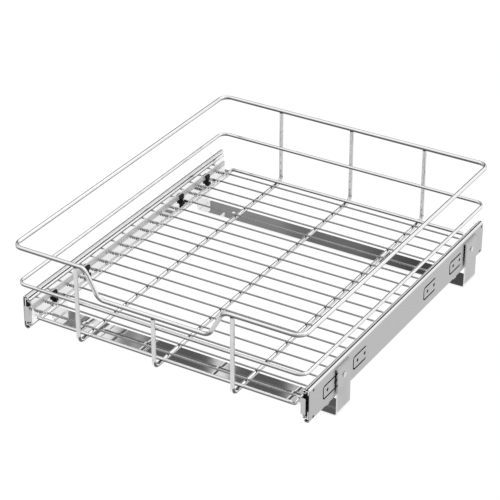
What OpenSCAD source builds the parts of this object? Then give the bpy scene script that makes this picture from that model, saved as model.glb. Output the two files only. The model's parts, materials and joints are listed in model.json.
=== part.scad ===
// Pull-out wire basket for a kitchen cabinet, carried on two three-section ball slides.
// Origin: bottom centre of the whole unit, on the cabinet floor. +X right, +Y to the back, +Z up.

/* [Slides] */
// Length of the outer slide members
slide_len = 500; // [460:5:560]
// Height of the outer slide members
slide_h = 50.8; // [49:0.2:56]
// Width over the outer faces of the two slides
track_w = 440.2; // [380:0.2:560]
// Sheet thickness of the outer members
outer_t = 1.4; // [1.2:0.1:1.5]
// Outside bend radius of the outer members
corner_r = 4.4; // [3:0.2:4.4]
// Sheet thickness of the intermediate members
mid_t = 1; // [0.9:0.05:1.1]
// Sheet thickness of the inner members
inner_t = 1.2; // [1:0.1:1.4]
// Diameter of the slide balls
ball_d = 3.2; // [3:0.1:3.4]
// Free play between a ball and its race
ball_play = 0.15; // [0.1:0.05:0.2]
// Running gap between nested slide parts
slide_gap = 0.35; // [0.3:0.05:0.4]
// Sideways step between the outer and the inner ball row
row_step = 3.2; // [3:0.1:3.4]
// Thickness of the ball cages
cage_t = 0.5; // [0.4:0.1:0.6]
// Length of a ball cage
cage_len = 170; // [120:10:200]
// Balls in one row of a cage
balls_per_row = 8; // [4:1:9]
// Cage start behind the slide front, closed
cage_set = 145; // [140:5:180]
// Basket travel, closed to fully pulled out
travel = 480; // [300:10:480]
// Reach of the front tab ahead of the slides
tab_reach = 3.5; // [3:0.5:6]
// Height of the front tab
tab_h = 24; // [16:1:30]

/* [Lanced tongues] */
// Length of a lanced tongue in an outer member
tongue_l = 37; // [24:1:44]
// Height of a lanced tongue
tongue_h = 21; // [14:1:28]
// Width of the slot round a tongue
tongue_slot = 2.4; // [0.8:0.1:2.8]
// First tongue behind the slide front
tongue_first = 33; // [20:1:50]
// Pitch of two neighbouring tongues
tongue_pitch = 79.5; // [70:0.5:90]
// Radius of the small holes in the outer members
plate_hole_r = 2.5; // [1.2:0.1:2.8]

/* [Cross rails] */
// Width of a cross rail
rail_w = 34; // [26:1:44]
// Sheet thickness of the cross rails
rail_t = 2; // [1.5:0.1:2.5]
// Underside of the slides above the cabinet floor
foot_h = 28; // [20:1:40]
// Height of the turned-up rail ends
upright_h = 72; // [62:1:74]
// Standoff between a turned-up end and the slide
rail_gap = 1.4; // [1:0.1:3]
// Inside radius of the rail bends
rail_r = 2; // [1:0.5:4]
// Front rail behind the slide front
front_rail_set = 66.5; // [40:0.5:100]
// Rear rail ahead of the slide rear end
rear_rail_set = 26; // [20:0.5:60]
// Height of the stiffening bead along a rail
bead_h = 1.2; // [0.6:0.1:2]
// Width of the bead's flat top
bead_w = 6; // [5.6:0.2:10]
// Distance of the bead's ends from the slides
bead_end = 20; // [14:1:40]
// Radius of the floor screw holes
screw_r = 2.5; // [2:0.1:2.7]
// Distance of a floor screw from the slide's outer face
screw_in = 51; // [30:1:80]

/* [Carriers] */
// Carrier shelf above the underside of the slides
shelf_up = 22.2; // [21:0.1:26]
// Sheet thickness of the carriers
carrier_t = 1.5; // [1.2:0.1:2]
// Height of a carrier wall above its shelf
carrier_wall = 13.5; // [12:0.5:16]
// Width of a carrier shelf
shelf_w = 8.3; // [7:0.1:9]
// Carrier ends set in from the slide ends
carrier_set = 6; // [4:1:20]
// Width of a basket clip's thumb lever
clip_w = 10; // [8:0.5:12]
// Height of a basket clip's thumb lever
clip_h = 12.4; // [10:0.2:13]
// Basket clips measured from the slide front
clip_at = [52, 129.5, 371, 443];

/* [Basket wire] */
// Rim depth, wire axis to wire axis
rim_l = 527.3; // [500:0.1:600]
// Rim width, wire axis to wire axis
rim_w = 435; // [380:0.5:560]
// Diameter of the rim wire
rim_d = 6; // [5:0.25:7]
// Diameter of the three upright wires
post_d = 6; // [5:0.25:7]
// Diameter of the middle rail wire
rail_d = 5; // [4:0.25:6]
// Diameter of the floor frame wire
frame_d = 5; // [5:0.25:6]
// Diameter of the floor cross wires
floor_d = 2.5; // [2:0.25:4]
// Height of the rim axis above the carrier shelf
rim_up = 113.5; // [95:0.5:160]
// Height of the middle rail axis above the shelf
rail_up = 54.2; // [35:0.1:60]
// Depth of the front dip in the rim
dip_drop = 40.3; // [30:0.1:44]
// Distance between the centres of the dip's two slopes
dip_w = 188; // [140:1:200]
// Bend radius of the rim, along the wire axis
rim_r = 14; // [10:1:18]
// Bend radius of the upright wires
post_r = 9; // [7:0.5:12]
// Bend radius of the floor frame
frame_r = 5; // [4.5:0.5:6]
// Distance between neighbouring upright wires
post_gap = 118; // [116:1:150]
// Rim front axis to the slide front
slide_set = 17.1; // [14:0.1:24]
// Floor frame set in from the rim, front and back
frame_set = 15; // [14:0.5:20]
// First cross wire behind the frame front
floor_first = 17.7; // [12:0.1:24]
// Pitch of the cross wires
floor_pitch = 25.9; // [22:0.1:40]
// How far one wire sinks into another at a weld
weld = 0.1; // [0.05:0.05:0.2]

/* [Hidden] */
$fn = 48;
half = track_w / 2;
race = ball_d / 2 + ball_play;
wing = race * 0.46;
// outer ball row, in slide section: u from the slide's outer face, z from its underside
mid_u = outer_t + slide_gap + cage_t + slide_gap;
mid_hw = sqrt(pow(race + mid_t, 2) - wing * wing);
row_a_u = mid_u + mid_hw;
row_a_z = slide_h - outer_t - race;
// inner ball row, stepped inboard and down so that the flange between keeps its thickness
row_gap = 2 * race + 0.9 * mid_t;
row_b_u = row_a_u + row_step;
row_b_z = row_a_z - sqrt(row_gap * row_gap - row_step * row_step);
inner_hw = sqrt(pow(race + inner_t, 2) - wing * wing);
face_u = row_b_u + inner_hw;
wall_u = face_u + carrier_t;
inner_cage_u = mid_u + mid_t + slide_gap;

front_y = slide_set - rim_l / 2;
back_y = front_y + slide_len;
shelf_z = foot_h + shelf_up;
rim_z = shelf_z + rim_up;
dip_z = rim_z - dip_drop;
rail_z = shelf_z + rail_up;
post_z = shelf_z - post_d / 2;
frame_hi = shelf_z + frame_d / 2 - weld;
frame_lo = shelf_z - frame_d / 2;
frame_l = rim_l - 2 * frame_set;
frame_gap = 0.5;
frame_x = half - wall_u - shelf_w - frame_gap - frame_d / 2;
wire_x = half - wall_u - frame_gap;
cross_z = shelf_z + floor_d / 2 - weld;
floor_n = 1 + floor((frame_l - floor_first - 8) / floor_pitch);

rail_out = half + rail_gap + rail_t;
rail_ro = rail_r + rail_t;
front_rail_y = front_y + front_rail_set;
rear_rail_y = back_y - rear_rail_set - rail_w;
rivet_z = foot_h + slide_h * 0.55;
rivet_r = 2;
carrier_rivets_at = [0.06, 0.36, 0.64, 0.94];
rivet_head_t = 0.6;
cage_end = 10;
end_hole_in = 9;
carrier_rivet_z = shelf_z + carrier_wall * 0.66;

// ---- bent wire: each step is [feed, roll, bend], as a wire bender is set ----

module bend(d, r, a) {
  translate([r, 0, 0])
    rotate([90, 0, 180])
      rotate_extrude(angle = a)
        translate([r, 0])
          circle(d = d);
}

module wire(d, r, steps, i = 0) {
  if (i < len(steps)) {
    feed = steps[i][0];
    turn = steps[i][2];
    if (feed > 0) cylinder(d = d, h = feed);
    translate([0, 0, feed])
      rotate([0, 0, steps[i][1]])
        if (turn > 0) {
          bend(d, r, turn);
          translate([r * (1 - cos(turn)), 0, r * sin(turn)])
            rotate([0, turn, 0])
              wire(d, r, steps, i + 1);
        }
  }
}

// Starts at the middle of the back, heads right, and first bends to the front
module from_back(y, z) {
  translate([0, y, z])
    rotate([-90, 0, 0])
      rotate([0, 90, 0])
        children();
}

// Starts at the top of the front, heads down, and first bends to the back
module from_front_top(x, y, z) {
  translate([x, y, z])
    rotate([180, 0, 90])
      children();
}

// ---- slide sections ----

module ring(r, t) {
  difference() {
    circle(r + t);
    circle(r);
  }
}

// Upper part of a ball race
module upper_ring(u, z, t) {
  translate([u, z])
    intersection() {
      ring(race, t);
      translate([-race - t - 1, wing]) square([2 * (race + t + 1), race + t + 1]);
    }
}

// Lower part of a ball race
module lower_ring(u, z, t) {
  translate([u, z])
    intersection() {
      ring(race, t);
      translate([-race - t - 1, -wing - race - t - 1]) square([2 * (race + t + 1), race + t + 1]);
    }
}

// Draws the upper half section and its mirror image below
module both_halves() {
  children();
  translate([0, slide_h]) mirror([0, 1]) children();
}

// Web, rounded corners and flanges of an outer member, up to the middle of its ball row
module outer_channel() {
  wide = 4 * corner_r;
  intersection() {
    difference() {
      rounded(wide, slide_h, corner_r);
      translate([outer_t, outer_t]) rounded(wide, slide_h - 2 * outer_t, corner_r - outer_t);
    }
    square([row_a_u, slide_h]);
  }
}

module mid_section() {
  union() {
    low = slide_h - row_a_z + wing;
    translate([mid_u, low]) square([mid_t, slide_h - 2 * low]);
    both_halves()
      difference() {
        union() {
          lower_ring(row_a_u, row_a_z, mid_t);
          upper_ring(row_b_u, row_b_z, mid_t);
        }
        translate([row_a_u, row_a_z]) circle(race);
        translate([row_b_u, row_b_z]) circle(race);
      }
  }
}

module inner_section() {
  low = slide_h - row_b_z + wing;
  union() {
    translate([face_u - inner_t, low]) square([inner_t, slide_h - 2 * low]);
    both_halves() lower_ring(row_b_u, row_b_z, inner_t);
  }
}

module cage_section(u, z, reach) {
  low = slide_h - z;
  cut = 1.2;
  in_cut = cut + cage_t * tan(22.5);
  polygon([[u, low + cut], [u + cut, low], [u + reach, low], [u + reach, low + cage_t], [u + in_cut, low + cage_t],
           [u + cage_t, low + in_cut], [u + cage_t, z - in_cut], [u + in_cut, z - cage_t],
           [u + reach, z - cage_t], [u + reach, z], [u + cut, z], [u, z - cut]]);
}

// Left side of the unit: u runs inboard from the slide's outer face
module along(y0, length) {
  translate([-half, y0 + length, foot_h])
    rotate([90, 0, 0])
      linear_extrude(length)
        children();
}

module side_hole(y, z, r, u0, u1) {
  translate([-half + u0, y, foot_h + z])
    rotate([0, 90, 0])
      cylinder(r = r, h = u1 - u0);
}

// ---- outer member, its tongues and holes ----

module rounded(w, h, r) {
  translate([r, 0]) square([w - 2 * r, h]);
  translate([0, r]) square([w, h - 2 * r]);
  for (x = [r, w - r], y = [r, h - r]) translate([x, y]) circle(r);
}

// Slot on three sides of a tongue, which stays joined at its rear end
module tongue_outline() {
  r = tongue_h * 0.24;
  difference() {
    rounded(tongue_l, tongue_h, r);
    translate([tongue_slot, tongue_slot])
      rounded(tongue_l, tongue_h - 2 * tongue_slot, r - tongue_slot);
  }
}

module tongue_slots(y) {
  translate([-half - 1, y, foot_h + slide_h / 2 - tongue_h / 2])
    rotate([90, 0, 90])
      linear_extrude(outer_t + 2)
        tongue_outline();
}

tongue_y = [
  front_y + tongue_first, front_y + tongue_first + tongue_pitch,
  back_y - tongue_first - 2 * tongue_l - (tongue_pitch - tongue_l) - tongue_l,
  back_y - tongue_first - 2 * tongue_l
];

module outer_member() {
  difference() {
    union() {
      along(front_y, slide_len) outer_channel();
      along(front_y, slide_len) both_halves() upper_ring(row_a_u, row_a_z, outer_t);
    }
    for (y = tongue_y) {
      tongue_slots(y);
      for (s = [0.33, 0.86]) side_hole(y + tongue_l * s, slide_h / 2, plate_hole_r, -1, outer_t + 1);
    }
    for (y = [front_y + end_hole_in, back_y - 6], z = [5.6, slide_h - 5.6])
      side_hole(y, z, plate_hole_r * 0.8, -1, outer_t + 1);
    for (y = [front_rail_y, rear_rail_y])
      side_hole(y + rail_w / 2, rivet_z - foot_h, rivet_r, -1, outer_t + 1);
  }
}

// ---- intermediate and inner members ----

mid_len = slide_len - 4;

module mid_member() along(front_y + 1, mid_len) mid_section();

// Plastic stop at the front end of the intermediate member: a block in its channel and a plug in each track
module mid_bumper() {
  low = slide_h - row_b_z + race + inner_t + slide_gap;
  block_w = face_u - inner_t - rivet_head_t - slide_gap - mid_u - mid_t;
  along(front_y + 1, 5)
    translate([mid_u + mid_t, 0])
      polygon([[0, low], [block_w - 1, low], [block_w, low + 1], [block_w, slide_h - low - 1],
               [block_w - 1, slide_h - low], [0, slide_h - low]]);
  along(front_y + 1, 7)
    both_halves()
      translate([row_a_u, row_a_z]) {
        intersection() {
          circle(race);
          translate([-race, -race]) square([2 * race, race]);
        }
        intersection() {
          circle(race - slide_gap);
          translate([-race, 0]) square([2 * race, race]);
        }
      }
}

module inner_member() {
  tab_z = foot_h + slide_h / 2 - tab_h / 2;
  tab_u = outer_t + 3;
  difference() {
    union() {
      along(front_y + 1, slide_len - 6) inner_section();
      translate([-half + face_u - inner_t, front_y - tab_reach, tab_z])
        cube([inner_t, tab_reach + 1, tab_h]);
      translate([-half + tab_u, front_y - tab_reach, tab_z])
        cube([face_u - tab_u, inner_t, tab_h]);
    }
    carrier_rivet_holes();
  }
}

// ---- ball cages ----

module ball_row(y0, u, z, r) {
  pitch = (cage_len - 2 * cage_end) / (balls_per_row - 1);
  for (i = [0 : balls_per_row - 1], s = [z, slide_h - z])
    translate([-half + u, y0 + cage_end + i * pitch, foot_h + s])
      children();
}

module outer_cage() {
  y0 = front_y + cage_set;
  reach = row_a_u + race + 0.25 - outer_t - slide_gap;
  difference() {
    along(y0, cage_len) cage_section(outer_t + slide_gap, row_a_z + cage_t / 2, reach);
    ball_row(y0, row_a_u, row_a_z) cylinder(r = ball_d / 2 + 0.05, h = 4 * cage_t, center = true);
  }
}

module outer_balls() ball_row(front_y + cage_set, row_a_u, row_a_z) sphere(d = ball_d);

module inner_cage() {
  y0 = front_y + cage_set + 8;
  reach = row_b_u + race + 0.3 - inner_cage_u;
  difference() {
    along(y0, cage_len) cage_section(inner_cage_u, row_b_z, reach);
    ball_row(y0, row_b_u, row_b_z) cylinder(r = ball_d / 2 + 0.05, h = 4 * cage_t, center = true);
  }
}

module inner_balls() ball_row(front_y + cage_set + 8, row_b_u, row_b_z) sphere(d = ball_d);

// ---- carriers, their rivets and the basket clips ----

module carrier_rivet_holes() {
  for (s = carrier_rivets_at)
    side_hole(front_y + s * slide_len, carrier_rivet_z - foot_h, 1.5, face_u - inner_t - 1, wall_u + 1);
}

module carrier() {
  difference() {
    along(front_y + carrier_set, slide_len - 2 * carrier_set)
      translate([face_u, shelf_up])
        polygon([[0, 1 - carrier_t], [1, -carrier_t], [carrier_t + shelf_w, -carrier_t],
                 [carrier_t + shelf_w, 0], [carrier_t, 0], [carrier_t, carrier_wall], [0, carrier_wall]]);
    carrier_rivet_holes();
  }
}

module carrier_rivet_set() {
  for (s = carrier_rivets_at) {
    y = front_y + s * slide_len;
    z = carrier_rivet_z - foot_h;
    side_hole(y, z, 1.5, face_u - inner_t - rivet_head_t, wall_u);
    side_hole(y, z, 2.5, wall_u, wall_u + 0.8);
    side_hole(y, z, 2.2, face_u - inner_t - rivet_head_t, face_u - inner_t);
  }
}

// Thumb lever against the carrier wall, on a grooved foot that lies on the shelf beside a cross wire
module clip(y) {
  foot = 2.6;
  translate([-half + wall_u, y, shelf_z])
    rotate([90, 0, 90])
      linear_extrude(2.4)
        polygon([[-clip_w / 2, clip_h], [-0.6, clip_h * 0.38], [-foot, foot], [-foot, 0], [foot, 0], [foot, foot],
                 [1.4, clip_h * 0.38], [clip_w / 2, clip_h * 0.52], [clip_w / 2, clip_h]]);
  along(y - foot, 2 * foot)
    translate([wall_u, shelf_up])
      polygon([[0, 0], [0, foot], [2.4, foot], [2.4, 1.2], [3.8, 1.2], [3.8, 2.4], [5.4, 2], [5.4, 0]]);
}

module clips() for (s = clip_at) clip(front_y + s);

// ---- cross rails with turned-up ends ----

module quarter(r, t) {
  intersection() {
    ring(r, t);
    square(r + t);
  }
}

module rail_end_section() {
  top_r = rail_t * 0.5;
  top_ro = top_r + rail_t;
  translate([rail_out - rail_ro, rail_ro]) mirror([0, 1]) quarter(rail_r, rail_t);
  translate([rail_out - rail_t, rail_ro]) square([rail_t, upright_h - rail_ro - top_ro]);
  translate([rail_out - top_ro, upright_h - top_ro]) quarter(top_r, rail_t);
  translate([half, upright_h - rail_t]) square([rail_out - top_ro - half, rail_t]);
}

module cross_rail(y) {
  bead_x = half - bead_end;
  slope = bead_h * 1.25;
  difference() {
    union() {
      translate([0, y + rail_w, 0])
        rotate([90, 0, 0])
          linear_extrude(rail_w) {
            translate([rail_ro - rail_out, 0]) square([2 * (rail_out - rail_ro), rail_t]);
            rail_end_section();
            mirror([1, 0]) rail_end_section();
          }
      translate([-bead_x, y + rail_w / 2, rail_t])
        rotate([90, 0, 90])
          linear_extrude(2 * bead_x)
            polygon([[-bead_w / 2 - slope, 0], [-bead_w / 2, bead_h], [bead_w / 2, bead_h],
                     [bead_w / 2 + slope, 0]]);
      for (s = [-1, 1])
        translate([s * half, y + rail_w / 2, rivet_z])
          rotate([0, s * 90, 0])
            cylinder(r = 2 * rivet_r, h = rail_gap);
    }
    translate([1 - bead_x, y + rail_w / 2, -1])
      rotate([90, 0, 90])
        linear_extrude(2 * bead_x - 2)
          polygon([[-bead_w / 2 - slope * 0.7, 0], [-bead_w / 2 - slope * 0.7, 1],
                   [0.4 - bead_w / 2, 1 + bead_h], [bead_w / 2 - 0.4, 1 + bead_h],
                   [bead_w / 2 + slope * 0.7, 1], [bead_w / 2 + slope * 0.7, 0]]);
    for (s = [-1, 1]) {
      translate([s * (half - screw_in), y + rail_w / 2, -1]) cylinder(r = screw_r, h = rail_t + bead_h + 2);
      translate([s * (half - 1), y + rail_w / 2, rivet_z])
        rotate([0, s * 90, 0])
          cylinder(r = rivet_r, h = rail_gap + rail_t + 2);
    }
  }
}

module rivet_pair() {
  for (y = [front_rail_y, rear_rail_y]) {
    yc = y + rail_w / 2;
    z = rivet_z - foot_h;
    side_hole(yc, z, rivet_r, -rail_gap - rail_t, outer_t);
    side_hole(yc, z, 2 * rivet_r, -rail_gap - rail_t - 1, -rail_gap - rail_t);
  }
}

// ---- basket wires ----

// Right half of a closed loop, trimmed at the middle of its front, and its mirror image
module loop() {
  both_sides()
    difference() {
      children();
      translate([-5, -rim_l, 0]) cube([5, rim_l, rim_z + 10]);
    }
}

// The dip's slopes leave the level in two bends whose sines and cosines are short decimals
dip_turn_1 = acos(0.5376);
dip_turn_2 = acos(0.99712);
dip_turn = dip_turn_1 + dip_turn_2;
dip_run = (dip_drop - 2 * rim_r * (1 - cos(dip_turn))) / sin(dip_turn);
dip_half = rim_r * sin(dip_turn) + dip_run * cos(dip_turn) / 2;

module rim() {
  across = rim_w / 2 - rim_r;
  shoulder = across - dip_w / 2 - dip_half;
  loop()
    from_back(rim_l / 2, rim_z)
      wire(rim_d, rim_r, [
        [across, 0, 90], [rim_l - 2 * rim_r, 0, 90],
        [shoulder, 90, dip_turn_1], [0, 0, dip_turn_2],
        [dip_run, 180, dip_turn_1], [0, 0, dip_turn_2],
        [dip_w / 2 - dip_half + 1, 0, 0]
      ]);
}

module middle_rail() {
  l = rim_l - post_d - rail_d + 2 * weld;
  r = rim_r - 2;
  loop()
    from_back(l / 2, rail_z)
      wire(rail_d, r, [[rim_w / 2 - r, 0, 90], [l - 2 * r, 0, 90], [rim_w / 2 - r + 1, 0, 0]]);
}

// Each corner is bent in a plane tilted down, so that the sides lie one wire lower than front and back
module floor_frame() {
  turn = acos(0.8);
  drop = frame_hi - frame_lo;
  slope = (drop - frame_r * (sin(turn) + 1 - cos(turn))) / sin(turn);
  run = round(100 * (frame_x - frame_r)) / 100;
  side = frame_l - 2 * ((frame_r + slope) * cos(turn) + frame_r * sin(turn));
  from_back(frame_l / 2, frame_hi)
    wire(frame_d, frame_r, [
      [run, turn, 90], [slope, -90, turn], [side, 0, turn], [slope, 90, 90], [2 * run, 0, 90],
      [slope, -90, turn], [side, 0, turn], [slope, 90, 90], [run, 0, 0]
    ]);
}

module post(x, front_z) {
  floor_run = rim_l - 2 * post_r;
  from_front_top(x, -rim_l / 2, front_z - rim_d / 2 + weld)
    wire(post_d, post_r, [
      [front_z - rim_d / 2 + weld - post_z - post_r, 0, 90], [floor_run, 0, 90],
      [rim_z - rim_d / 2 + weld - post_z - post_r, 0, 0]
    ]);
}

module cross_wires() {
  for (i = [0 : floor_n - 1])
    translate([-wire_x, floor_first + i * floor_pitch - frame_l / 2, cross_z])
      rotate([0, 90, 0])
        cylinder(d = floor_d, h = 2 * wire_x);
}

// ---- nodes ----

module both_sides() {
  children();
  mirror([1, 0, 0]) children();
}

module front_cross_rail() color("gainsboro") cross_rail(front_rail_y);
module rear_cross_rail() color("gainsboro") cross_rail(rear_rail_y);
module rail_rivets() color("silver") both_sides() rivet_pair();
module left_outer_member() color("darkgray") outer_member();
module right_outer_member() color("darkgray") mirror([1, 0, 0]) outer_member();
module left_mid_member() color("silver") mid_member();
module right_mid_member() color("silver") mirror([1, 0, 0]) mid_member();
module left_mid_bumper() color("black") mid_bumper();
module right_mid_bumper() color("black") mirror([1, 0, 0]) mid_bumper();
module left_outer_cage() color("gray") outer_cage();
module right_outer_cage() color("gray") mirror([1, 0, 0]) outer_cage();
module left_outer_balls() color("lightsteelblue") outer_balls();
module right_outer_balls() color("lightsteelblue") mirror([1, 0, 0]) outer_balls();
module left_inner_cage() color("gray") inner_cage();
module right_inner_cage() color("gray") mirror([1, 0, 0]) inner_cage();
module left_inner_balls() color("lightsteelblue") inner_balls();
module right_inner_balls() color("lightsteelblue") mirror([1, 0, 0]) inner_balls();
module left_inner_member() color("silver") inner_member();
module right_inner_member() color("silver") mirror([1, 0, 0]) inner_member();
module left_carrier() color("lightgray") carrier();
module right_carrier() color("lightgray") mirror([1, 0, 0]) carrier();
module carrier_rivets() color("silver") both_sides() carrier_rivet_set();
module left_clips() color("black") clips();
module right_clips() color("black") mirror([1, 0, 0]) clips();
module rim_wire() color("gainsboro") rim();
module middle_rail_wire() color("gainsboro") middle_rail();
module floor_frame_wire() color("gainsboro") floor_frame();
module left_post_wire() color("gainsboro") post(-post_gap, rim_z);
module centre_post_wire() color("gainsboro") post(0, dip_z);
module right_post_wire() color("gainsboro") post(post_gap, rim_z);
module floor_cross_wires() color("gainsboro") cross_wires();

front_cross_rail();
rear_cross_rail();
rail_rivets();
left_outer_member();
right_outer_member();
left_mid_member();
right_mid_member();
left_mid_bumper();
right_mid_bumper();
left_outer_cage();
right_outer_cage();
left_outer_balls();
right_outer_balls();
left_inner_cage();
right_inner_cage();
left_inner_balls();
right_inner_balls();
left_inner_member();
right_inner_member();
left_carrier();
right_carrier();
carrier_rivets();
left_clips();
right_clips();
rim_wire();
middle_rail_wire();
floor_frame_wire();
left_post_wire();
centre_post_wire();
right_post_wire();
floor_cross_wires();
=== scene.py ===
import json
import math
import random
from typing import NamedTuple

import bmesh
import bpy
from mathutils import Matrix, Vector


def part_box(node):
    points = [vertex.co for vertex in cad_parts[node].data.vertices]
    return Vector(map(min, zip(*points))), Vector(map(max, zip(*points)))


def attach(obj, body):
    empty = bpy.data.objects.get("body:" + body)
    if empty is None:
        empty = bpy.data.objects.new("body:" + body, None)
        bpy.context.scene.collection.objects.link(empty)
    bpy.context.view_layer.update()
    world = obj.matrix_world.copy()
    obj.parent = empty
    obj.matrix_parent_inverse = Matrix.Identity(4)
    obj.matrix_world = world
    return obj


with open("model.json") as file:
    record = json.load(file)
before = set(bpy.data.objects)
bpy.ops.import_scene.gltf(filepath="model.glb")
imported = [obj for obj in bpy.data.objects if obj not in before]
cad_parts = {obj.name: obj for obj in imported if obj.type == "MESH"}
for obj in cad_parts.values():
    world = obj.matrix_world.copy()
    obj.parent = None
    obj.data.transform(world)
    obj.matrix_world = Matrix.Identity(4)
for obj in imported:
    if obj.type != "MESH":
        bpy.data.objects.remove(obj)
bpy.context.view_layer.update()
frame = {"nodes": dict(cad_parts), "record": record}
NODES = frame["nodes"]


# ---- camera, fitted to the photograph ----

SENSOR_MM = 36.0
LENS_MM = 146.80
CAMERA_PLACE = (1.23481, -2.08800, 1.48542)
CAMERA_TURN = (60.1217, -0.0543, 30.9227)  # degrees about X, Y and Z
CAMERA_REACH = 50.0


def make_camera():
    data = bpy.data.cameras.new("camera")
    data.sensor_width = SENSOR_MM
    data.lens = LENS_MM
    data.clip_end = CAMERA_REACH
    cam = bpy.data.objects.new("camera", data)
    cam.location = CAMERA_PLACE
    cam.rotation_euler = [math.radians(angle) for angle in CAMERA_TURN]
    bpy.context.scene.collection.objects.link(cam)
    bpy.context.scene.camera = cam


make_camera()
bpy.context.scene.view_settings.view_transform = "Standard"


# ---- node helpers ----

# The Mix node's sockets for colours
MIX_FACTOR, MIX_A, MIX_B, MIX_RESULT = 0, 6, 7, 2


def rgba(r, g, b):
    return (r, g, b, 1.0)


class Graph:
    """Short calls for building a shader tree."""

    def __init__(self, tree):
        self.tree = tree
        tree.nodes.clear()

    def node(self, kind, **props):
        n = self.tree.nodes.new(kind)
        for key, value in props.items():
            setattr(n, key, value)
        return n

    def link(self, a, b):
        self.tree.links.new(a, b)

    def put(self, socket, value):
        if isinstance(value, bpy.types.NodeSocket):
            self.link(value, socket)
        else:
            socket.default_value = value

    def place(self):
        return self.node("ShaderNodeTexCoord").outputs["Object"]

    def noise(self, vector, scale, detail=3.0, roughness=0.5):
        n = self.node("ShaderNodeTexNoise")
        self.put(n.inputs["Vector"], vector)
        n.inputs["Scale"].default_value = scale
        n.inputs["Detail"].default_value = detail
        n.inputs["Roughness"].default_value = roughness
        return n.outputs["Fac"]

    def drawn_noise(self, vector, scales):
        """Noise with its own scale along each axis, for lines along one of them."""
        n = self.node("ShaderNodeMapping")
        self.put(n.inputs["Vector"], vector)
        n.inputs["Scale"].default_value = scales
        return self.noise(n.outputs["Vector"], 1.0, roughness=0.6)

    def span(self, value, low, high, out_low, out_high):
        n = self.node("ShaderNodeMapRange")
        self.put(n.inputs["Value"], value)
        for key, end in (("From Min", low), ("From Max", high),
                         ("To Min", out_low), ("To Max", out_high)):
            n.inputs[key].default_value = end
        return n.outputs["Result"]

    def rise(self, value, low, high):
        """0 below low, 1 above high."""
        return self.span(value, low, high, 0.0, 1.0)

    def fall(self, value, low, high):
        """1 below low, 0 above high."""
        return self.span(value, low, high, 1.0, 0.0)

    def within(self, value, low, high, outer, inner=0.0):
        """1 from low to high, fading over outer beyond each end and over inner before it."""
        return self.times(self.rise(value, low - outer, low + inner),
                          self.fall(value, high - inner, high + outer))

    def mix(self, factor, a, b):
        n = self.node("ShaderNodeMix", data_type="RGBA")
        self.put(n.inputs[MIX_FACTOR], factor)
        self.put(n.inputs[MIX_A], a)
        self.put(n.inputs[MIX_B], b)
        return n.outputs[MIX_RESULT]

    def math(self, op, a, b=0.0):
        n = self.node("ShaderNodeMath", operation=op)
        self.put(n.inputs[0], a)
        self.put(n.inputs[1], b)
        return n.outputs[0]

    def plus(self, a, b):
        return self.math("ADD", a, b)

    def minus(self, a, b):
        return self.math("SUBTRACT", a, b)

    def times(self, a, b):
        return self.math("MULTIPLY", a, b)

    def apart(self, a):
        return self.math("ABSOLUTE", a)

    def shade(self, a, b):
        """Two colours, or a colour and a number, multiplied."""
        n = self.node("ShaderNodeVectorMath", operation="MULTIPLY")
        self.link(a, n.inputs[0])
        self.link(b, n.inputs[1])
        return n.outputs[0]

    def split(self, vector):
        n = self.node("ShaderNodeSeparateXYZ")
        self.put(n.inputs[0], vector)
        return n.outputs

    def ramp(self, value, steps):
        """Grey steps over 0 to 1, with straight blends between them."""
        n = self.node("ShaderNodeValToRGB")
        elements = n.color_ramp.elements
        while len(elements) < len(steps):
            elements.new(0.5)
        for element, (at, tone) in zip(elements, steps):
            element.position = at
            element.color = rgba(tone, tone, tone)
        self.put(n.inputs[0], value)
        return n.outputs[0]

    def bump(self, height, strength, distance):
        n = self.node("ShaderNodeBump")
        self.put(n.inputs["Height"], height)
        n.inputs["Strength"].default_value = strength
        n.inputs["Distance"].default_value = distance
        return n.outputs["Normal"]


# ---- materials ----
#
# Heights, distances and bump depths are in metres, and noise scales are per metre.
# The middle plane is x = 0. A fade is the distance over which one finish turns into another.
# A face's outward number is its normal's x times its own x: above 0 it looks away from x = 0.

BLUE_TINT = 0.003    # steel is faintly bluer than a neutral grey
SPREAD = (0.3, 0.7)  # most of a noise's values lie between these


def grey(value, blue=BLUE_TINT):
    return rgba(value, value, value + blue)


def new_material(name):
    mat = bpy.data.materials.new(name)
    mat.use_nodes = True
    g = Graph(mat.node_tree)
    out = g.node("ShaderNodeOutputMaterial")
    shader = g.node("ShaderNodeBsdfPrincipled")
    g.link(shader.outputs[0], out.inputs["Surface"])
    return mat, g, shader, g.place()


def face_way(g):
    """The surface's normal in the object's axes, as x, y and z."""
    return g.split(g.node("ShaderNodeTexCoord").outputs["Normal"])


class Under(NamedTuple):
    """Painted shade: a darker grey on what faces down and to the front.

    With a height it fades out above that, and leaves out what doesn't face sideways too.
    """
    tone: float
    height: float | None = None


class Upright(NamedTuple):
    """Another tone and roughness above a height, on every face or on the outward ones."""
    height: float
    tone: float
    rough: float
    outward_only: bool = False


HAZE_SCALE = 45.0
PEEL_SCALE = 160.0
PORE_SCALE = 900.0
STRIP_LINES = (14.0, 700.0, 700.0)  # scales of the lines that drawing leaves along X
HAZE_TONES = (0.35, 0.68)           # the noise values of the light and the dark patches
HAZE_GLOSS = (0.3, 0.75)            # and of the least and the most roughness
PEEL_RELIEF, PORE_RELIEF, LINE_RELIEF = 0.3, 0.08, 0.3
PLATED_BUMP = (0.08, 0.0001)        # strength and depth
DOWN, FRONT = -0.8, -0.6            # z and y of the direction that the painted shade faces
UNDER_START, UNDER_FULL = 0.14, 0.46    # how squarely a face has to face that way
UNDER_LEFT = 0.12                   # what is left of it above its height
UNDER_FADE = 0.004
SIDEWAYS = (0.2, 0.5)               # the normal's x where the painted shade begins and is full
# a band of heights where the painted shade is lighter by this share
LESS_SHADE_SHARE = 0.55
LESS_SHADE_FADE = 0.002
HIGHLIT_ENDS_FADE = 0.003
UPRIGHT_FADE = 0.002
UPRIGHT_CLOUD = 0.03                # how far its tone and roughness vary either way
UPRIGHT_TONES = (0.35, 0.65)        # the noise values of its least and most grey
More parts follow.
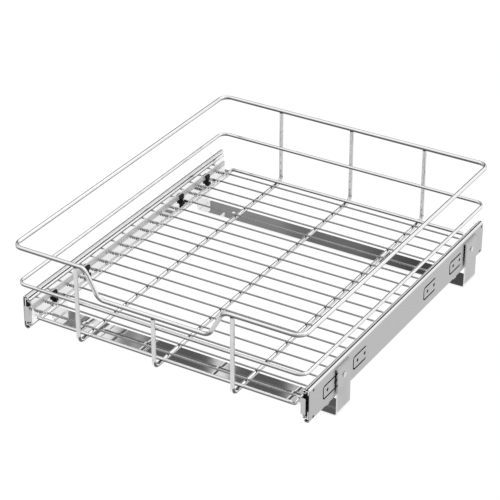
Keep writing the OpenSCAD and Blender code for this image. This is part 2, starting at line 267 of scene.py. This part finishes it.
UPRIGHT_OUTWARD = (-0.05, 0.05)     # the outward number where it begins and is full


def painted_underside_shade(g, facing, height, under, less_shade_band):
    """How far the painted shade darkens: 0 to 1."""
    down = g.plus(g.times(facing[1], FRONT), g.times(facing[2], DOWN))
    amount = g.math("MAXIMUM", g.rise(down, UNDER_START, UNDER_FULL),
                    g.fall(facing[2], 0.0, UNDER_START))
    if under.height is not None:
        low = g.span(height, under.height, under.height + UNDER_FADE, 1.0, UNDER_LEFT)
        amount = g.times(g.times(amount, low), g.rise(g.apart(facing[0]), *SIDEWAYS))
    if less_shade_band:
        band = g.within(height, *less_shade_band, LESS_SHADE_FADE, LESS_SHADE_FADE)
        amount = g.times(amount, g.minus(1.0, g.times(band, LESS_SHADE_SHARE)))
    return amount


def plated(name, light, dark, rough, streaks=0.0, under=None, less_shade_band=None, highlit_ends=None,
           upright=None):
    """Plated steel: haze in patches, orange peel in the gloss, streaks along X on drawn strip.

    light and dark are the greys of its patches, rough is the least and most roughness, and
    streaks the share of the lines in the tone.
    under paints shade on what faces down and to the front, and less_shade_band is a band of
    heights where that painted shade counts for little.
    highlit_ends paints a highlight on what lies further out than a distance from the middle
    plane: (x, grey).
    """
    mat, g, shader, place = new_material(name)
    x, _, z = g.split(place)
    facing = face_way(g)
    haze = g.noise(place, HAZE_SCALE, detail=4.0, roughness=0.6)
    peel = g.noise(place, PEEL_SCALE, detail=2.0)
    pores = g.noise(place, PORE_SCALE, detail=2.0)
    lines = g.drawn_noise(place, STRIP_LINES)
    tone = g.plus(g.times(haze, 1.0 - streaks), g.times(lines, streaks))
    color = g.mix(g.rise(tone, *HAZE_TONES), grey(light), grey(dark))
    gloss = g.span(tone, *HAZE_GLOSS, *rough)
    # painted shade: darker grey on what faces down and to the front
    if under:
        color = g.mix(painted_underside_shade(g, facing, z, under, less_shade_band), color, grey(under.tone))
    # painted highlight: a paler grey on what lies further out than that distance
    if highlit_ends:
        color = g.mix(g.rise(g.apart(x), highlit_ends[0], highlit_ends[0] + HIGHLIT_ENDS_FADE), color, grey(highlit_ends[1]))
    if upright:
        high = g.rise(z, upright.height, upright.height + UPRIGHT_FADE)
        if upright.outward_only:
            high = g.times(high, g.rise(g.times(facing[0], x), *UPRIGHT_OUTWARD))
        least, most = upright.tone - UPRIGHT_CLOUD, upright.tone + UPRIGHT_CLOUD
        color = g.mix(high, color, g.span(haze, *UPRIGHT_TONES, least, most))
        least, most = upright.rough - UPRIGHT_CLOUD, upright.rough + UPRIGHT_CLOUD
        gloss = g.mix(high, gloss, g.span(haze, *SPREAD, least, most))
    g.put(shader.inputs["Base Color"], color)
    g.put(shader.inputs["Roughness"], gloss)
    shader.inputs["Metallic"].default_value = 1.0
    relief = g.plus(g.times(peel, PEEL_RELIEF), g.times(pores, PORE_RELIEF))
    relief = g.plus(relief, g.times(lines, LINE_RELIEF * streaks))
    g.put(shader.inputs["Normal"], g.bump(relief, *PLATED_BUMP))
    return mat


CLOUD_SCALE = 60.0
ROLL_LINES = (900.0, 9.0, 900.0)    # scales of the lines that rolling leaves along Y
GRAIN_SCALE = 1500.0
CLOUD_SHARE, LINES_SHARE = 0.6, 0.4
MOTTLE = (0.96, 1.03)               # the tone's least and most share of its grey
ROLLED_RELIEF = (0.4, 0.2)          # of the lines and of the grain
ROLLED_BUMP = (0.15, 0.00006)       # strength and depth
SHADED_OUTSIDE_OUTWARD = (0.05, 0.15)      # the outward number where the painted shade of the outside begins and is full
STEPS_TOP = 0.1                     # the height where the steps of a section end
POLISH = (0.0742, 0.0748)           # heights over which the top's polish begins
POLISH_ROUGH = 0.07                 # roughness of that polish
SHADE_LINE_HEIGHT = (0.0764, 0.0766)    # the painted shade lines and the painted highlight strip are on the top flange alone
SHADE_LINE_TONE = 0.05
SHADE_LINE_EDGE = 0.2                   # how soft its edges are, as a share of its half width
HIGHLIGHT_STRIP_HEIGHT = (0.0772, 0.0776)
HIGHLIGHT_STRIP_FADE = 0.0002
TIP_FADE = 0.0005


def rolled(name, steps, rough, shade_lines=(), highlight_strip=None, tip=None, shaded_outside=None):
    """Rolled sheet: satin with a faint cloud and lines along the rolling direction, Y.

    steps is one grey, or (z, grey) up a section, whose greys by height paint shade low down and
    light on top.
    rough is the least and most roughness below the polished top.
    shade_lines are dark lines of painted shade along the top flange: (x, half width).
    highlight_strip is a strip of the top flange turned from metal to matt white, a painted
    highlight: its distances from the middle plane.
    tip gives the front end another grey: (y, grey).
    shaded_outside is the grey of the faces that look away from the middle plane, into the members
    around them: painted shade between the nested members.
    """
    mat, g, shader, place = new_material(name)
    x, y, z = g.split(place)
    cloud = g.noise(place, CLOUD_SCALE, detail=5.0, roughness=0.6)
    lines = g.drawn_noise(place, ROLL_LINES)
    grain = g.noise(place, GRAIN_SCALE, detail=2.0)
    if isinstance(steps, float):
        steps = ((0.0, steps), (STEPS_TOP, steps))
    tone = g.ramp(g.rise(z, 0.0, STEPS_TOP), [(at / STEPS_TOP, value) for at, value in steps])
    # painted shade on the faces that look away from the middle plane
    if shaded_outside is not None:
        outward = g.times(face_way(g)[0], x)
        tone = g.mix(g.rise(outward, *SHADED_OUTSIDE_OUTWARD), tone, grey(shaded_outside))
    # painted shade: dark lines along the top flange
    for at, half in shade_lines:
        soft = half * SHADE_LINE_EDGE
        line = g.fall(g.apart(g.minus(x, at)), half - soft, half + soft)
        tone = g.mix(g.times(line, g.rise(z, *SHADE_LINE_HEIGHT)), tone, grey(SHADE_LINE_TONE))
    if tip:
        tone = g.mix(g.fall(y, tip[0] - TIP_FADE, tip[0]), tone, grey(tip[1]))
    speck = g.plus(g.times(cloud, CLOUD_SHARE), g.times(lines, LINES_SHARE))
    g.put(shader.inputs["Base Color"], g.shade(tone, g.span(speck, *SPREAD, *MOTTLE)))
    gloss = g.mix(g.rise(z, *POLISH), g.span(cloud, *SPREAD, *rough), grey(POLISH_ROUGH, 0.0))
    g.put(shader.inputs["Roughness"], gloss)
    shader.inputs["Metallic"].default_value = 1.0
    # painted highlight: the strip is matt white instead of metal
    if highlight_strip:
        strip = g.times(g.within(g.apart(x), *highlight_strip, HIGHLIGHT_STRIP_FADE), g.rise(z, *HIGHLIGHT_STRIP_HEIGHT))
        g.put(shader.inputs["Metallic"], g.minus(1.0, strip))
    relief = g.plus(g.times(lines, ROLLED_RELIEF[0]), g.times(grain, ROLLED_RELIEF[1]))
    g.put(shader.inputs["Normal"], g.bump(relief, *ROLLED_BUMP))
    return mat


WEAR_SCALE = 120.0
SPARK_SCALE = 2500.0
WORN = (0.45, 0.8)                  # the noise values of the dark and the paler patches
NYLON_GLOSS = 0.2                   # specular level
PLASTIC_BUMP = (0.2, 0.00005)       # strength and depth


def plastic(name, light, dark, rough):
    """Moulded nylon: fine spark-eroded grain and slightly worn, paler patches."""
    mat, g, shader, place = new_material(name)
    wear = g.noise(place, WEAR_SCALE, detail=4.0, roughness=0.6)
    grain = g.noise(place, SPARK_SCALE, detail=2.0)
    color = g.mix(g.rise(wear, *WORN), grey(dark, 0.0), grey(light, 0.0))
    g.put(shader.inputs["Base Color"], color)
    g.put(shader.inputs["Roughness"], g.span(wear, *SPREAD, *rough))
    shader.inputs["Metallic"].default_value = 0.0
    shader.inputs["Specular IOR Level"].default_value = NYLON_GLOSS
    g.put(shader.inputs["Normal"], g.bump(grain, *PLASTIC_BUMP))
    return mat


# The slide's outer members: grey painted by height, darker on the lower flange as painted shade,
# satin on the web, and bright on the top flange as painted light
SLIDE_STEPS = ((0.0, 0.22), (0.0295, 0.25), (0.0305, 0.46), (0.0756, 0.46), (0.0770, 0.93),
               (STEPS_TOP, 0.93))
# dark lines of painted shade along the top flanges: (x, half width)
SLIDE_SHADE_LINES = ((0.2126, 0.0011), (0.2167, 0.0009), (-0.2162, 0.0006), (-0.2190, 0.0008))

MATERIALS = {
    # the wires get painted shade underneath, lighter in one band of heights
    "wire_chrome": plated("wire_chrome", 0.96, 0.90, (0.02, 0.05), under=Under(0.14),
                          less_shade_band=(0.131, 0.158)),
    # post wires: painted shade underneath below 0.056 m, and above it a greyer tone, painted
    # shade on their upright parts
    "post_chrome": plated("post_chrome", 0.96, 0.90, (0.02, 0.05),
                          under=Under(0.12, height=0.056),
                          upright=Upright(0.056, tone=0.64, rough=0.08)),
    # the floor cross wires: painted shade underneath and a painted highlight on their outer ends
    "fine_wire": plated("fine_wire", 0.42, 0.34, (0.08, 0.14), under=Under(0.16),
                        highlit_ends=(0.191, 0.9)),
    "rail_chrome": plated("rail_chrome", 0.92, 0.84, (0.03, 0.055), streaks=0.2,
                          upright=Upright(0.006, tone=0.47, rough=0.25, outward_only=True)),
    "carrier_chrome": plated("carrier_chrome", 0.93, 0.88, (0.04, 0.07),
                             upright=Upright(0.0555, tone=0.58, rough=0.32)),
    "ball_steel": plated("ball_steel", 0.60, 0.52, (0.04, 0.08)),
    # dark: the weld beads' own tone, and the painted shade of the spots at the wire ends
    "weld_steel": plated("weld_steel", 0.16, 0.06, (0.35, 0.5)),
    # outer slide members: grey painted by height, painted shade lines and a painted highlight
    # strip on the top flange
    "slide_zinc": rolled("slide_zinc", SLIDE_STEPS, (0.22, 0.32), shade_lines=SLIDE_SHADE_LINES,
                         highlight_strip=(0.2128, 0.2159)),
    # the mid and inner members: painted shade on the faces that look away from the middle plane
    "mid_zinc": rolled("mid_zinc", 0.90, (0.06, 0.10), shaded_outside=0.48),
    "inner_zinc": rolled("inner_zinc", 0.92, (0.06, 0.10), tip=(-0.2435, 0.50), shaded_outside=0.50),
    # the ball cage: a real part, made dark so the gaps between the members show dark, painted
    # shade
    "cage_steel": rolled("cage_steel", 0.20, (0.3, 0.45)),
    "rivet_steel": rolled("rivet_steel", 0.70, (0.25, 0.4)),
    "black_plastic": plastic("black_plastic", 0.022, 0.010, (0.45, 0.6)),
}

# The nodes whose finish isn't the plain one of their slot in the record
POSTS = ("left_post_wire", "centre_post_wire", "right_post_wire")
FINISH = {
    "floor_cross_wires": "fine_wire",
    **dict.fromkeys(POSTS, "post_chrome"),
    **dict.fromkeys(("left_inner_member", "right_inner_member"), "inner_zinc"),
    **dict.fromkeys(("left_mid_member", "right_mid_member"), "mid_zinc"),
}


def dress(obj, finish):
    if not obj.data.materials:
        obj.data.materials.append(MATERIALS[finish])
    for place in obj.material_slots:
        place.material = MATERIALS[finish]


for entry in frame["record"]["subparts"]:
    dress(NODES[entry["node"]], FINISH.get(entry["node"], entry["material_slot"]))


# ---- spot welds of the basket floor, and painted shade at the wire ends ----

CROSS_WIRES = 19
FRAME_WIRE_RADIUS = 0.0025
WELD_SEED = 7
UNEVEN = (0.80, 1.18)           # where a bead's points lie, as a share of its round radius
BEAD_WIDTH = (0.0026, 0.0034)
BEAD_THICKNESS = 0.0014
BEAD_LIFT = 0.0001              # of a bead's middle over the underside of the cross wire
# dark spots of painted shade at the cut ends of the cross wires, where they meet the carrier wall
SHADE_SPOT_WIDTH, SHADE_SPOT_THICKNESS = 0.0013, 0.0012
SHADE_SPOT_LENGTH = (0.0022, 0.0030)
SHADE_SPOT_LIFT = 0.0005
SHADE_SPOT_FORWARD = 0.0034           # of its middle in front of the wire's
SHADE_SPOTS_BACK = (0.0008, 0.0042)   # from the cut end of the wire


def nugget(mesh, centre, size, draw):
    """A squashed, uneven blob with its middle at centre, for weld beads and for dark spots of
    painted shade.
    """
    place = Matrix.Translation(centre) @ Matrix.Diagonal((*size, 1.0))
    made = bmesh.ops.create_icosphere(mesh, subdivisions=2, radius=0.5, matrix=place)
    for vertex in made["verts"]:
        away = vertex.co - Vector(centre)
        vertex.co = Vector(centre) + away * draw.uniform(*UNEVEN)


def make_beads_and_shade_spots():
    """Beads where the cross wires meet the wires under them, and two dark spots of painted shade
    at each cut end.
    """
    low, high = (Vector(corner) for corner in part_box("floor_cross_wires"))
    wire = high.z - low.z
    pitch = (high.y - low.y - wire) / (CROSS_WIRES - 1)
    runs = [sum(corner[0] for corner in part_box(node)) / 2 for node in POSTS]
    frame_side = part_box("floor_frame_wire")[1][0] - FRAME_WIRE_RADIUS
    draw = random.Random(WELD_SEED)
    mesh = bmesh.new()
    for i in range(CROSS_WIRES):
        y = low.y + wire / 2 + i * pitch
        for x in (*runs, -frame_side, frame_side):
            size = (draw.uniform(*BEAD_WIDTH), draw.uniform(*BEAD_WIDTH), BEAD_THICKNESS)
            nugget(mesh, (x, y, low.z + BEAD_LIFT), size, draw)
        # painted shade: two dark spots at each cut end
        for side in (-1, 1):
            for back in SHADE_SPOTS_BACK:
                size = (SHADE_SPOT_WIDTH, draw.uniform(*SHADE_SPOT_LENGTH), SHADE_SPOT_THICKNESS)
                place = (side * (high.x - back), y - SHADE_SPOT_FORWARD, low.z + SHADE_SPOT_LIFT)
                nugget(mesh, place, size, draw)
    data = bpy.data.meshes.new("floor_beads_and_shade_spots")
    mesh.to_mesh(data)
    mesh.free()
    for face in data.polygons:
        face.use_smooth = True
    beads_and_shade_spots = bpy.data.objects.new("floor_beads_and_shade_spots", data)
    bpy.context.scene.collection.objects.link(beads_and_shade_spots)
    data.materials.append(MATERIALS["weld_steel"])
    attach(beads_and_shade_spots, "basket")


make_beads_and_shade_spots()


# ---- floor ----

FLOOR_HALF = 12.0
FLOOR_DROP = 0.0002         # keeps it clear of the undersides that stand on it
FLOOR_TONES = (0.84, 0.80)
FLOOR_CLOUDS = 3.0          # the scale of their noise
FLOOR_GLOW = 1.09           # its white, as the camera and the mirroring metal see it
FLOOR_SHARE = 0.86          # how far that white stands in for the lit floor, which has the shadow


def make_floor():
    mesh = bpy.data.meshes.new("floor")
    signs = ((-1, -1), (1, -1), (1, 1), (-1, 1))
    corners = [(x * FLOOR_HALF, y * FLOOR_HALF, 0.0) for x, y in signs]
    mesh.from_pydata(corners, [], [(0, 1, 2, 3)])
    floor = bpy.data.objects.new("floor", mesh)
    floor.location.z = -FLOOR_DROP
    bpy.context.scene.collection.objects.link(floor)
    mat = bpy.data.materials.new("floor")
    mat.use_nodes = True
    g = Graph(mat.node_tree)
    out = g.node("ShaderNodeOutputMaterial")
    matte = g.node("ShaderNodeBsdfDiffuse")
    tones = [grey(tone, 0.0) for tone in FLOOR_TONES]
    g.put(matte.inputs["Color"], g.mix(g.noise(g.place(), FLOOR_CLOUDS), *tones))
    glow = g.node("ShaderNodeEmission")
    glow.inputs["Color"].default_value = rgba(1.0, 1.0, 1.0)
    glow.inputs["Strength"].default_value = FLOOR_GLOW
    rays = g.node("ShaderNodeLightPath")
    seen = g.math("MAXIMUM", rays.outputs["Is Camera Ray"], rays.outputs["Is Transmission Ray"])
    seen = g.math("MAXIMUM", seen, rays.outputs["Is Glossy Ray"])
    blend = g.node("ShaderNodeMixShader")
    g.link(g.times(seen, FLOOR_SHARE), blend.inputs[0])
    g.link(matte.outputs[0], blend.inputs[1])
    g.link(glow.outputs[0], blend.inputs[2])
    g.link(blend.outputs[0], out.inputs["Surface"])
    mesh.materials.append(mat)


# ---- world ----
#
# Directions are in degrees: height above the horizon, and azimuth from +Y towards +X.

DEGREES = 180.0 / math.pi
SKY_HEIGHTS = (-10.0, 90.0)
# Brightness by the share of those heights
SKY = ((0.0, 0.14), (0.14, 0.18), (0.22, 0.74), (0.34, 1.0), (0.44, 1.02), (1.0, 0.95))
BACK_RIGHT = (0.51, 0.86)   # x and y of the brighter side
# Brightness by the share of the way from the opposite side to that one
SIDE = ((0.05, 0.45), (0.38, 0.58), (0.64, 0.62), (0.68, 0.95), (1.0, 1.0))


class Panel(NamedTuple):
    """An upright panel of the studio. lean is its change of azimuth per degree of height."""
    azimuth: float  # of its middle, at PANEL_LEVEL
    half: float     # half its width
    lean: float
    low: float
    high: float
    tone: float


PANEL_LEVEL = 31.5
PANEL_EDGE = 0.7            # the blur of its sides
PANEL_NARROW = 1.2          # a narrow one has no more blur than this times its half width
PANEL_END = 1.5             # half the blur of its top and bottom
# The dark and light panels that the cross rails, the shelves and the slides mirror
PANELS = (
    Panel(-46.0, 14.0, 0.0, -5.0, 28.0, 0.08),
    Panel(-25.9, 8.3, -0.45, -5.0, 36.8, 0.10),
    Panel(-31.0, 1.5, 0.0, 25.0, 29.8, 0.30),
    Panel(-28.3, 1.3, 0.0, 25.0, 30.2, 0.18),
    Panel(-24.2, 1.7, 0.0, 25.0, 31.2, 0.055),
    Panel(-36.7, 0.3, -0.4, 27.0, 36.0, 0.12),
    Panel(-34.65, 0.35, -0.4, 27.0, 36.0, 0.20),
    Panel(42.0, 18.0, 0.0, -12.0, 16.0, 0.95),
    Panel(-31.5, 0.30, -0.2, 32.4, 38.0, 1.00),
    Panel(-28.8, 0.30, -0.2, 33.4, 38.0, 0.85),
)


def make_world():
    """Studio: dark low down, bright overhead and to the back right, greyer to the front left."""
    world = bpy.data.worlds.new("studio")
    bpy.context.scene.world = world
    world.use_nodes = True
    g = Graph(world.node_tree)
    out = g.node("ShaderNodeOutputWorld")
    x, y, z = g.split(g.node("ShaderNodeTexCoord").outputs["Generated"])
    height = g.times(g.math("ARCSINE", z), DEGREES)
    azimuth = g.times(g.math("ARCTAN2", x, y), DEGREES)
    sky = g.ramp(g.rise(height, *SKY_HEIGHTS), SKY)
    toward = g.plus(g.times(x, BACK_RIGHT[0]), g.times(y, BACK_RIGHT[1]))
    color = g.shade(sky, g.ramp(g.rise(toward, -1.0, 1.0), SIDE))
    for panel in PANELS:
        middle = g.plus(g.times(g.minus(height, PANEL_LEVEL), panel.lean), panel.azimuth)
        blur = min(PANEL_EDGE, PANEL_NARROW * panel.half) / 2
        across = g.fall(g.apart(g.minus(azimuth, middle)), panel.half - blur, panel.half + blur)
        reach = (panel.high - panel.low) / 2
        away = g.apart(g.minus(height, (panel.low + panel.high) / 2))
        along = g.fall(away, reach - PANEL_END, reach + PANEL_END)
        color = g.mix(g.times(across, along), color, grey(panel.tone, 0.0))
    back = g.node("ShaderNodeBackground")
    g.link(color, back.inputs["Color"])
    g.link(back.outputs[0], out.inputs["Surface"])


# ---- lamps ----

LAMP_AIM = (0.0, 0.0, 0.1)
LAMP_POWER = 10.0


def area_lamp(name, place, side):
    """A square soft lamp."""
    data = bpy.data.lights.new(name, "AREA")
    data.shape = "SQUARE"
    data.size = side
    data.energy = LAMP_POWER
    lamp = bpy.data.objects.new(name, data)
    lamp.location = place
    lamp.rotation_euler = (Vector(LAMP_AIM) - Vector(place)).to_track_quat("-Z", "Y").to_euler()
    bpy.context.scene.collection.objects.link(lamp)


make_floor()
make_world()
area_lamp("key", (-1.6, -1.2, 1.9), 2.8)
area_lamp("top", (0.2, 0.5, 2.4), 3.0)
